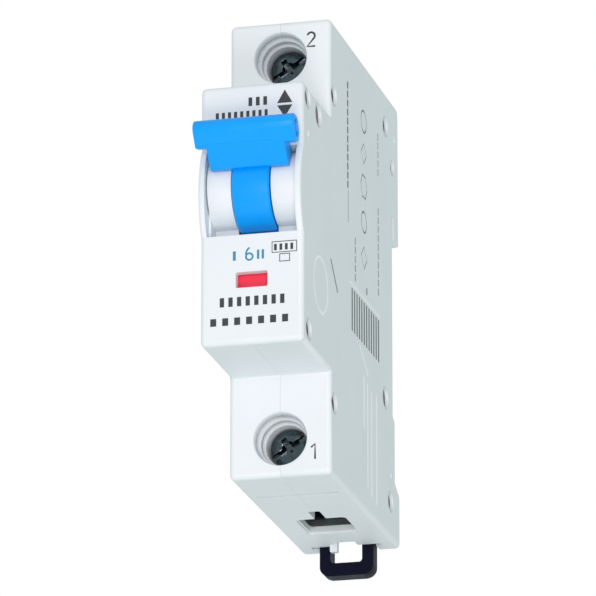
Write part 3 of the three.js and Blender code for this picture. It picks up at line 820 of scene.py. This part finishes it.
def side_marks(depth):
    """Dark marks of the right side: rows of dashes, a line, a slanted slot and plain outlines."""
    shapes = [
        block(depth, (-31.95, -31.55), (7.5, 13.2)),
        prism("x", [(-44.4, -3.0), (-43.8, -2.7), (-39.0, -7.2), (-39.6, -7.5)], depth),
    ]
    for y, low, high, half in DASH_ROWS:
        for i in range(int((high - low) / DASH_STEP)):
            z = low + DASH_STEP * i
            shapes.append(block(depth, (y - half, y + half), (z, z + DASH)))
    shapes += [outline_mark((MARK_Y, z), half, MARK_LINE, corners, depth) for z, half, corners in MARKS]
    return fuse(shapes)


def highlight_inlays(depth):
    """Pale marks of the right side, painted highlights of its ridges and relief ring: upright, level and
    slanted lines, and the ring on the nose.
    """
    shapes = [block(depth, (y - 0.34, y + 0.34), (low, high)) for y, low, high in HIGHLIGHT_RIDGES]
    shapes.append(block(depth, (-31.0, -9.2), (-2.9, -2.5)))
    shapes.append(outline_mark((-51, -9.6), 5.0, 0.5, 64, depth))
    shapes.append(prism("x", [(-24.4, -12.0), (-23.9, -11.6), (-17.6, -15.6), (-18.1, -16.0)], depth))
    return fuse(shapes)


def right_zone(gap):
    """The room of the right shell: the right half, without the full-width front and rail walls."""
    zone = block((gap, HALF_WIDTH + 1), (SEAM_Y + gap, BACK_Y + 1), (-50, 50))
    rail = block((-1, HALF_WIDTH + 2), (CAVITY_BACK_Y - gap, BACK_Y + 2), (FOOT_TOP - gap, RAIL_HOOK_Z + gap))
    return cut(zone, rail)


def calibration_boss():
    """Boss on the left shell with the hole for the calibration screw."""
    boss = block((BETWEEN_WALLS[0], 2.2), (-58.8, -57.2), (-17, -14))
    return cut(boss, disc("y", 1.15, (-60, -56), (0, -15.5), 24))


def build_housing():
    """Splits the solid into the two shells and adds what belongs to one of them."""
    solid = housing_solid()
    left = copy_of(solid)
    cut(left, right_zone(0))
    join(left, cheek(-1), cheek(1), hump(), calibration_boss(), latch_peg(), latch_tab())
    right = common(solid, right_zone(SEAM_GAP))
    material = MATERIALS["shell_plastic"]
    hand_over(soften(left, 0.07), "shell_left", "housing", "shell_plastic", material, "housing_left")
    engraved = (HALF_WIDTH - MARK_DEPTH, HALF_WIDTH + 1)
    cut(soften(right, 0.07), side_marks(engraved), highlight_inlays(engraved))
    hand_over(shade(right), "shell_right", "housing", "shell_plastic", material, "housing_right")


# ---- rivets and pins ----------------------------------------------------------------


def build_rivets():
    """Hollow rivets with rolled heads, set in the wells, in dark metal that paints the shade deep in the
    wells.
    """
    seat = HALF_WIDTH - WELL_DEPTH
    for i, place in enumerate(RIVETS):
        half = [(0.95, seat), (1.75, seat), (1.75, seat + 0.2), (1.5, seat + 0.48), (1.0, seat + 0.55)]
        half += [(0.6, seat + 0.4), (0.45, seat - 0.1), (0, seat - 0.2)]
        mirrored = [(radius, -along) for radius, along in reversed(half)]
        rivet = turned("x", mirrored + half, place, 28)
        hand_over(
            shade(rivet), f"hollow_rivet_{i + 1}", "housing", "plated_steel",
            SHADE_DARK_RIVET_STEEL, f"rivet_{i + 1}",
        )


def build_pin_ends():
    """Dark pin ends low in the wide dimples, painting the shade in them."""
    ends = []
    for y, z, radius in DIMPLES:
        if radius < WIDE_DIMPLE:
            continue
        for side in (-1, 1):
            foot = side * (HALF_WIDTH - 0.95)
            top = side * (HALF_WIDTH - 0.5)
            rim = side * (HALF_WIDTH - 0.6)
            profile = [(0, foot), (radius - 0.2, foot), (radius - 0.2, rim), (radius - 0.35, top), (0, top)]
            ends.append(shade(turned("x", profile, (y, z), 32)))
    hand_over(fuse(ends), "shade_dark_pin_ends", "housing", "plated_steel", SHADE_DARK_RIVET_STEEL)


# ---- handle -------------------------------------------------------------------------


def grip_outline():
    """Section of the bar: round top edge, front face leaning back, undercut behind."""
    return rounded([
        (-70.7, 15.0, 1.6), (-65.9, 15.0, 1.2), (-64.5, 12.6, 0.8), (-65.1, 10.8, 0.5), (-67.1, 10.35, 0.45),
    ], 10)


def build_handle():
    """The T-shaped handle: grip bar, head and drum in one piece."""
    grip = round_side_edges(prism("x", grip_outline(), (-GRIP_HALF, GRIP_HALF)), 0.3, 3)
    hollow = rounded([
        (-68.6, 14.1, 0.8), (-66.3, 14.2, 0.7), (-65.4, 12.6, 0.5), (-65.8, 11.4, 0.3), (-66.9, 11.2, 0.3),
    ])
    cut(grip, *[prism("x", hollow, sorted((side * (GRIP_HALF - 2.6), side * 9))) for side in (-1, 1)])
    head = prism("x", rounded([
        (-67.5, 10.8, 0), (-64.5, 7.4, 0.4), (-62.4, 7.4, 0), (-61.9, 9.8, 0), (-62.7, 11, 0.4),
        (-65, 12.6, 0),
    ]), (-HEAD_HALF, HEAD_HALF))
    cut(head, disc("x", HUMP_RADIUS + 0.35, SIDES, PIVOT, 96))
    hub = INNER_HALF - 0.25
    drum = turned("x", [
        (0, -hub), (2.8, -hub), (3, -hub + 0.2), (3, -DRUM_HALF), (DRUM_RADIUS - 0.3, -DRUM_HALF),
        (DRUM_RADIUS, -DRUM_HALF + 0.3), (DRUM_RADIUS, DRUM_HALF - 0.3), (DRUM_RADIUS - 0.3, DRUM_HALF),
        (3, DRUM_HALF), (3, hub - 0.2), (2.8, hub), (0, hub),
    ], PIVOT, 128)
    join(drum, head, grip)
    cut(
        drum, disc("x", 1.55, THROUGH, PIVOT, 32),
        disc("x", 0.75, SIDES, crank_point(), 24),
    )
    hand_over(soften(drum, 0.15), "handle", "toggle", "handle_plastic", MATERIALS["handle_plastic"], "toggle")


def crank_point():
    """Where the wire link goes through the drum."""
    return (
        PIVOT[0] + CRANK_RADIUS * math.cos(CRANK_ANGLE),
        PIVOT[1] + CRANK_RADIUS * math.sin(CRANK_ANGLE),
    )


# ---- springs and coil ---------------------------------------------------------------


def spring(name, node, axis, centre, along, radius, turns, gauge, slot="spring_steel"):
    """A helix of round wire in place of a CAD spring or coil of the housing."""
    points = helix(axis, centre, along, radius, turns)
    piece = wire(name, points, gauge)
    return hand_over(piece, name, "housing", slot, MATERIALS[slot], node)


def build_springs():
    coil = (0, COIL_Z)
    spring("handle_return_spring", "toggle_spring", "x", PIVOT, (-6.7, -3.8), 3.65, 4, 0.3)
    spring("contact_arm_spring", "contact_spring", "x", CARRIER_PIVOT, (-6.6, -3.0), 1.85, 5, 0.3)
    spring("trip_lever_spring", "trip_spring", "x", TRIP_PIVOT, (2.0, 4.3), 1.5, 4, 0.25)
    spring("plunger_return_spring", "plunger_spring", "y", coil, (-30.6, -26.4), 1.4, 5, 0.2)
    spring("trip_winding", "trip_coil", "y", coil, (-32.6, -15.8), 4.3, 8, 0.85, "copper")
    latch = spring(
        "latch_return_spring", "latch_spring", "z", (0, LATCH_SPRING_Y), LATCH_SPRING, 1.1, 8,
        LATCH_GAUGE,
    )
    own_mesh(latch)


STRAND_RADIUS = 0.36
STRAND_OFFSET = 0.38
# from the bimetal strip to the contact arm
BRAID_ROUTE = [
    (-3.9, -55.2, -17.6), (-4.9, -52.6, -17.4), (-5.4, -49, -16.2), (-5.2, -45.4, -13.4),
    (-3.6, -43.4, -9.9),
]


def build_braid():
    """Three strands twisted round the braid's route."""
    path = smooth_path([Vector(point) for point in BRAID_ROUTE], 24)
    strands = []
    for k in range(3):
        points = []
        for i, point in enumerate(path):
            ahead = path[min(i + 1, len(path) - 1)] - path[max(i - 1, 0)]
            side = ahead.cross(Vector((1, 0, 0))).normalized()
            up = ahead.cross(side).normalized()
            angle = 2 * math.pi * (k / 3 + i / 16)
            points.append(point + STRAND_OFFSET * (side * math.cos(angle) + up * math.sin(angle)))
        strands.append(wire("strand", points, STRAND_RADIUS))
    braid = fuse(strands)
    hand_over(braid, "braided_lead", "housing", "copper", MATERIALS["copper"], "flexible_braid")


def smooth_path(points, steps):
    """A Catmull-Rom curve through the points."""
    ends = [points[0] * 2 - points[1], *points, points[-1] * 2 - points[-2]]
    path = []
    for a, b, c, d in zip(ends, ends[1:], ends[2:], ends[3:]):
        for i in range(steps):
            t = i / steps
            path.append(0.5 * (
                2 * b + (c - a) * t + (2 * a - 5 * b + 4 * c - d) * t * t + (3 * b - a - 3 * c + d) * t**3
            ))
    path.append(points[-1])
    return path


# ---- terminals ----------------------------------------------------------------------

SCREW_HEAD = (-38.0, -35.0)
SCREW_END = -20.05
SCREW_PITCH = 0.8
SCREW_TURN = -32


def threaded_shank(z):
    """The shank with a helical thread, as one closed skin."""
    start = SCREW_HEAD[1] - 0.2
    around = 24
    per_pitch = 6
    rows = round((SCREW_END - start) / SCREW_PITCH * per_pitch)
    crest = 2.4
    root = 2.02
    points = []
    for row in range(rows + 1):
        y = start + (SCREW_END - start) * row / rows
        taper = min(1.0, (SCREW_END - y) / 1.2)
        for i in range(around):
            phase = ((y - start) / SCREW_PITCH - i / around) % 1
            radius = root + (crest - root) * (1 - abs(2 * phase - 1)) * taper
            angle = 2 * math.pi * i / around
            points.append((radius * math.cos(angle), y, z + radius * math.sin(angle)))
    faces = [list(range(around)), list(range(rows * around, (rows + 1) * around))]
    for row in range(rows):
        for i in range(around):
            j = (i + 1) % around
            low = row * around
            high = low + around
            faces.append((low + i, low + j, high + j, high + i))
    return mesh_object("shank", points, faces)


def screw_head(z):
    """Pan head with a rim chamfer, a cross recess and a shallow slot across it."""
    front, back = SCREW_HEAD
    head = turned("y", [
        (0, back), (3.1, back), (3.3, back - 0.2), (3.3, front + 0.55), (3.15, front + 0.2),
        (2.75, front + 0.02), (0, front),
    ], (0, z), 64)
    depth = (front - 1, front + 1.8)
    slot = block((-3.6, 3.6), (front - 1, front + 0.9), (z - 0.5, z + 0.5))
    wings = [block((-2, 2), depth, (z - 0.5, z + 0.5)), block((-0.5, 0.5), depth, (z - 2, z + 2))]
    core = turned("y", [(0, front - 1), (1.35, front - 1), (1.1, front + 1.2), (0, front + 2.0)], (0, z), 32)
    lift = Matrix.Translation((0, 0, z))
    turn = lift @ Matrix.Rotation(math.radians(SCREW_TURN), 4, "Y") @ lift.inverted()
    for tool in (slot, *wings):
        tool.data.transform(turn)
    return cut(head, slot, *wings, core)


def build_screw(side, name):
    z = side * TERMINAL_Z
    screw = join(screw_head(z), threaded_shank(z))
    # dark metal: painted shade and painted reflection of the bore
    hand_over(
        soften(screw, 0.07), f"clamp_screw_{name}", f"terminal_screw_{name}", "plated_steel",
        SHADE_DARK_SCREW_STEEL, f"terminal_screw_{name}",
    )


# ---- flag and latch -----------------------------------------------------------------


def build_flag():
    """Two-coloured slide: red lower half shows when on, green upper half when off."""
    low, high = span("indicator_flag", 2)
    front, _ = span("indicator_flag", 1)
    half = span("indicator_flag", 0)[1]
    middle = (low + high) / 2
    plate = (front, front + 0.9)
    red = block((-half, half), plate, (low, middle))
    cut(red, block((-half + 0.6, half - 0.6), (front + 0.6, front + 2), (low + 0.5, middle - 0.5)))
    green = block((-half, half), plate, (middle, high))
    join(green, block((-0.8, 0.8), (front + 0.8, front + 1.7), (high - 3.2, high)))
    hand_over(
        soften(red, 0.12), "flag_on_half", "indicator_flag", "flag_plastic",
        MATERIALS["flag_plastic"], "indicator_flag",
    )
    hand_over(soften(green, 0.12), "flag_off_half", "indicator_flag", "flag_plastic", FLAG_GREEN)


def build_latch():
    """Sliding rail latch with its pull loop, hook nose, guide flange and spring window."""
    half = LATCH_HALF
    low, high = span("rail_latch", 2)
    plate = prism("z", rectangle((-half, half), (LATCH_FRONT, LATCH_BACK), 0.35, 3), (low, high))
    silhouette = rounded([(-half, low, 1.9), (half, low, 1.9), (half, high, 0.3), (-half, high, 0.3)], 8)
    common(plate, prism("y", silhouette, (LATCH_FRONT - 1, LATCH_BACK + 1)))
    nose = prism("x", [
        (LATCH_BACK + 1, high - 3.7), (LATCH_BACK - 2.2, high), (LATCH_BACK + 1, high + 1),
    ], (-half - 1, half + 1))
    cut(plate, nose)
    join(plate, block((-FLANGE_HALF, FLANGE_HALF), (LATCH_FRONT, FLANGE_BACK), (-35, -24)))
    through = (0, 6)
    loop = rounded([(-2.8, -42.9, 0.6), (2.8, -42.9, 0.6), (2.8, -38.2, 0.4), (-2.8, -38.2, 0.4)])
    hole = prism("y", loop, through)
    window = prism("y", rectangle((-1.7, 1.7), (-29.5, -19.5), 0.3), through)
    rib_depth = (LATCH_BACK - 0.25, LATCH_BACK + 1)
    ribs = [block((-3.2, 3.2), rib_depth, (z, z + 0.5)) for z in (-36.6, -35.4, -34.2)]
    cut(plate, hole, window, *ribs)
    hand_over(
        soften(plate, 0.25), "latch", "rail_latch", "latch_plastic",
        MATERIALS["latch_plastic"], "rail_latch",
    )


# ---- printing -----------------------------------------------------------------------


PRINT_FRONT = (NOSE_Y - 0.02, NOSE_Y + 0.02)
# plain pointed marks on the nose, as (x, z) corners
FRONT_MARKS = [[(4.3, 18.7), (6.9, 18.7), (5.6, 21.0)], [(4.3, 18.3), (6.9, 18.3), (5.6, 16.2)]]
# rows of plain dashes on the nose, as (lowest x, highest x, z, height, number of dashes)
FRONT_ROWS = [
    (-0.6, 3.2, 18.6, 1.5, 3), (-6.2, 3.2, 16.3, 1.5, 9), (3.8, 7.5, -6.85, 1.1, 4),
    (-5.4, 6.3, -16.0, 1.6, 8), (-7.0, 7.2, -19.2, 1.3, 7),
]
# printed share of each step of such a row
DASH_SHARE = 0.5


def stroke(name, points, centre, front, width, material):
    """A printed line of even width on a front face, drawn through (x, z) points."""
    line = wire(name, [(centre[0] + x, 0, centre[1] + z) for x, z in points], width / 2)
    for vertex in line.data.vertices:
        vertex.co.y = front + 0.05 * vertex.co.y
    return hand_over(line, name, "housing", "shell_plastic", material)


def digit_one(height):
    half = height / 2
    return [(-0.21 * height, 0.28 * height), (0.05 * height, half), (0.05 * height, -half)]


def digit_two(height):
    half = height / 2
    radius = 0.26 * height
    crown = arc((0, half - radius), radius, 165, -35, 14)
    return [*crown, (-0.27 * height, -half), (0.28 * height, -half)]


def digit_six(height):
    radius = 0.27 * height
    bowl = arc((0, radius - height / 2), radius, 150, 510, 28)
    back = arc((0.35 * height, -0.02 * height), 0.62 * height, 122, 178, 8)
    return [*back, *bowl]


def side_printing():
    """The inlays of the right side's marks, painted-highlight lines and ribbed field, just under its face."""
    skin = (HALF_WIDTH - MARK_DEPTH, HALF_WIDTH - 0.02)
    groove = (HALF_WIDTH - 0.2, HALF_WIDTH - 0.04)
    ribs = [block(groove, (y + 0.02, y + RIB_WIDTH - 0.02), RIB_FIELD) for y in RIB_STARTS]
    hand_over(fuse([side_marks(skin), *ribs]), "side_lines", "housing", "shell_plastic", PRINT_SIDE)
    # pale inlays: painted highlights of the ridges and the ring
    hand_over(highlight_inlays(skin), "side_highlight_lines", "housing", "shell_plastic", PAINTED_HIGHLIGHT)


def build_printing():
    side_printing()
    stroke("numeral_upper", digit_two(2.5), (5.35, 36.4), SHOULDER_Y, 0.38, PRINT_GREY)
    stroke("numeral_lower", digit_one(2.6), (5.85, -36.1), SHOULDER_Y, 0.36, PRINT_GREY)
    stroke("numeral_rating", digit_six(2.1), (-0.4, -7.1), NOSE_Y, 0.34, PRINT_BLUE)
    beside = [block(x, PRINT_FRONT, (-8.1, -6.5)) for x in ((-3.2, -2.7), (0.9, 1.3), (1.7, 2.1))]
    hand_over(fuse(beside), "rating_dashes", "housing", "shell_plastic", PRINT_BLUE)
    frames = [front_frame((3.4, 7.7), (-7.25, -5.3)), front_frame((4.7, 6.5), (-8.85, -7.45))]
    hand_over(fuse(frames), "rating_frames", "housing", "shell_plastic", PRINT_GREY)
    rows = [front_row(*row) for row in FRONT_ROWS]
    rows += [prism("y", corners, PRINT_FRONT) for corners in FRONT_MARKS]
    hand_over(fuse(rows), "front_dashes", "housing", "shell_plastic", PRINT_GREY)


def front_frame(x, z, line=0.13):
    """A thin rectangular frame printed on the nose."""
    frame_lines = block(x, PRINT_FRONT, z)
    inside = block((x[0] + line, x[1] - line), (NOSE_Y - 1, NOSE_Y + 1), (z[0] + line, z[1] - line))
    return cut(frame_lines, inside)


def front_row(low, high, z, height, count):
    """A row of plain dashes printed on the nose."""
    step = (high - low) / count
    starts = [low + step * i for i in range(count)]
    return fuse([block((x, x + step * DASH_SHARE), PRINT_FRONT, (z, z + height)) for x in starts])


# ---- parts that keep their CAD shape ------------------------------------------------

KEPT_SLOTS = {part["node"]: part["material_slot"] for part in frame["record"]["subparts"]}


def dress_kept_nodes():
    """Softens and paints every CAD node that no piece stands for."""
    for name, obj in NODES.items():
        if obj.hide_render:
            continue
        slot = KEPT_SLOTS[name]
        obj.data.materials.clear()
        obj.data.materials.append(CAGE_STEEL if name.startswith("terminal_cage") else MATERIALS[slot])
        modifier = obj.modifiers.new("edges", "BEVEL")
        modifier.width = 0.12 * MM
        modifier.segments = 2
        modifier.limit_method = "ANGLE"
        modifier.angle_limit = EDGE_ANGLE


# ---- stage --------------------------------------------------------------------------

AIM = Vector((-0.833, -28.7, -4.331)) * MM
CAMERA_DISTANCE = 1.05
CAMERA_TURN = math.radians(14.3)
CAMERA_RISE = math.radians(-17.4)
LENS = 373.8
FLOOR_RADIUS = 3200
FLOOR_STEPS = 96
FLOOR_Z = -1200


def add_camera():
    """The camera below and to the right of the front, as in the photograph."""
    data = bpy.data.cameras.new("camera")
    data.lens = LENS
    data.sensor_width = 36
    data.clip_start = 0.05
    data.clip_end = 20
    camera = add_object("camera", data)
    level = math.cos(CAMERA_RISE)
    back = Vector((math.sin(CAMERA_TURN) * level, -math.cos(CAMERA_TURN) * level, math.sin(CAMERA_RISE)))
    camera.location = AIM + back * CAMERA_DISTANCE
    camera.rotation_euler = (-back).to_track_quat("-Z", "Y").to_euler()
    bpy.context.scene.camera = camera


def area_light(name, place, size, power, tint=(1, 1, 1)):
    """A round soft light aimed at the middle of the part."""
    data = bpy.data.lights.new(name, "AREA")
    data.shape = "DISK"
    data.size = size
    data.energy = power
    data.color = tint
    light = add_object(name, data)
    light.location = place
    light.rotation_euler = (AIM - light.location).to_track_quat("-Z", "Y").to_euler()


def add_lights():
    """Two soft lights in front, a weak one above, and an even studio that the camera sees white."""
    area_light("key", Vector((0.3, -1.45, -0.12)), 0.5, 6.7, (1.0, 0.79, 0.84))
    area_light("fill_low", Vector((0.35, -1.25, -0.95)), 0.5, 6.0, (1.0, 0.94, 0.95))
    area_light("strip_top", Vector((-0.05, -0.35, 1.1)), 0.4, 0.5)
    world = bpy.data.worlds.new("studio")
    world.use_nodes = True
    nodes = world.node_tree.nodes
    links = world.node_tree.links
    light = nodes["Background"]
    light.inputs["Color"].default_value = (0.915, 1.0, 1.0, 1.0)
    light.inputs["Strength"].default_value = 0.66
    backdrop = nodes.new("ShaderNodeBackground")
    backdrop.inputs["Color"].default_value = (1.0, 1.0, 1.0, 1.0)
    seen = nodes.new("ShaderNodeLightPath")
    mix = nodes.new("ShaderNodeMixShader")
    links.new(seen.outputs["Is Camera Ray"], mix.inputs["Fac"])
    links.new(light.outputs["Background"], mix.inputs[1])
    links.new(backdrop.outputs["Background"], mix.inputs[2])
    links.new(mix.outputs["Shader"], nodes["World Output"].inputs["Surface"])
    bpy.context.scene.world = world


def add_floor():
    """A plain pale floor far enough below not to cut the view from beneath."""
    rim = arc((0, 0), FLOOR_RADIUS, 0, 360, FLOOR_STEPS)[:-1]
    floor = mesh_object("floor", [(x, y, FLOOR_Z) for x, y in rim], [list(range(FLOOR_STEPS))])
    floor.data.transform(MM_TO_METRES)
    surface = Surface("floor_paper", specular=0.2)
    pale = srgb(246, 246, 246)
    surface.color(surface.noise(400, 2), scaled(pale, 0.98), pale)
    surface.roughness(surface.noise(30, 2), 0.7, 0.8)
    floor.data.materials.append(surface.material)


build_housing()
build_rivets()
build_pin_ends()
build_handle()
build_springs()
build_braid()
build_screw(1, "upper")
build_screw(-1, "lower")
build_flag()
build_latch()
build_printing()
dress_kept_nodes()
add_camera()
add_lights()
add_floor()
bpy.context.scene.view_settings.view_transform = "Standard"
